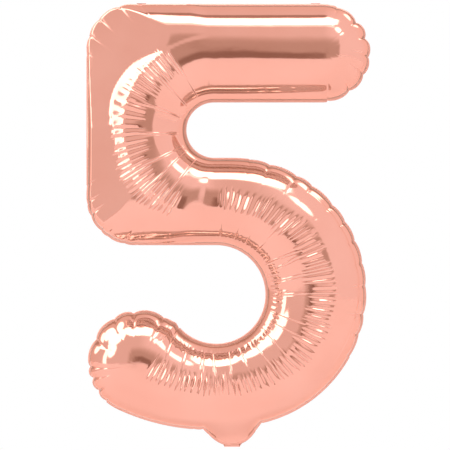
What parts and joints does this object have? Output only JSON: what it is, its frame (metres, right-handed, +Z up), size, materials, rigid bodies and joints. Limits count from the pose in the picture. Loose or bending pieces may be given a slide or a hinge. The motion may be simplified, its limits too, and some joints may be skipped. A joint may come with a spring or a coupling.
{
  "type": "foil number balloon",
  "caption": "Large mirror-film digit balloon: two domed panels sealed at a flanged seam, with a neck valve, a folded inflation tail and hanging tabs.",
  "frame": {"origin": "midway between the two hanging holes, on the line that the balloon hangs from", "axes": "+X to the reader's right, +Z up the digit, front panel towards -Y"},
  "size_m": [0.554, 0.1772, 0.8641],
  "materials": {
    "rose_gold_foil": "metallised mirror film, rose gold",
    "valve_film": "soft translucent film",
    "release_coat": "thin printed coat"
  },
  "bodies": {
    "balloon": {"front_panel": "rose_gold_foil", "back_panel": "rose_gold_foil"},
    "valve": {"valve_front_film": "valve_film", "valve_back_film": "valve_film", "valve_release_coat": "release_coat"},
    "tail": {"tail_front_film": "rose_gold_foil", "tail_back_film": "rose_gold_foil", "tail_valve_front_film": "valve_film", "tail_valve_back_film": "valve_film"},
    "tab_left": {"hanging_tab_left": "rose_gold_foil"},
    "tab_right": {"hanging_tab_right": "rose_gold_foil"}
  },
  "joints": [
    {"name": "tail_fold", "type": "hinge", "parent": "balloon", "child": "tail", "pos_m": [0.007, -0.013, -0.864], "axis": [-1, 0, 0], "range_deg": [0, 268]},
    {"name": "tab_left_fold", "type": "hinge", "parent": "balloon", "child": "tab_left", "pos_m": [-0.17, -0.013, 0], "axis": [1, 0, 0], "range_deg": [0, 180]},
    {"name": "tab_right_fold", "type": "hinge", "parent": "balloon", "child": "tab_right", "pos_m": [0.17, -0.013, 0], "axis": [1, 0, 0], "range_deg": [0, 180]},
    {"name": "valve_sway", "type": "hinge", "parent": "balloon", "child": "valve", "pos_m": [0.007, -0.013, -0.847], "axis": [1, 0, 0], "range_deg": [-15, 15]}
  ]
}
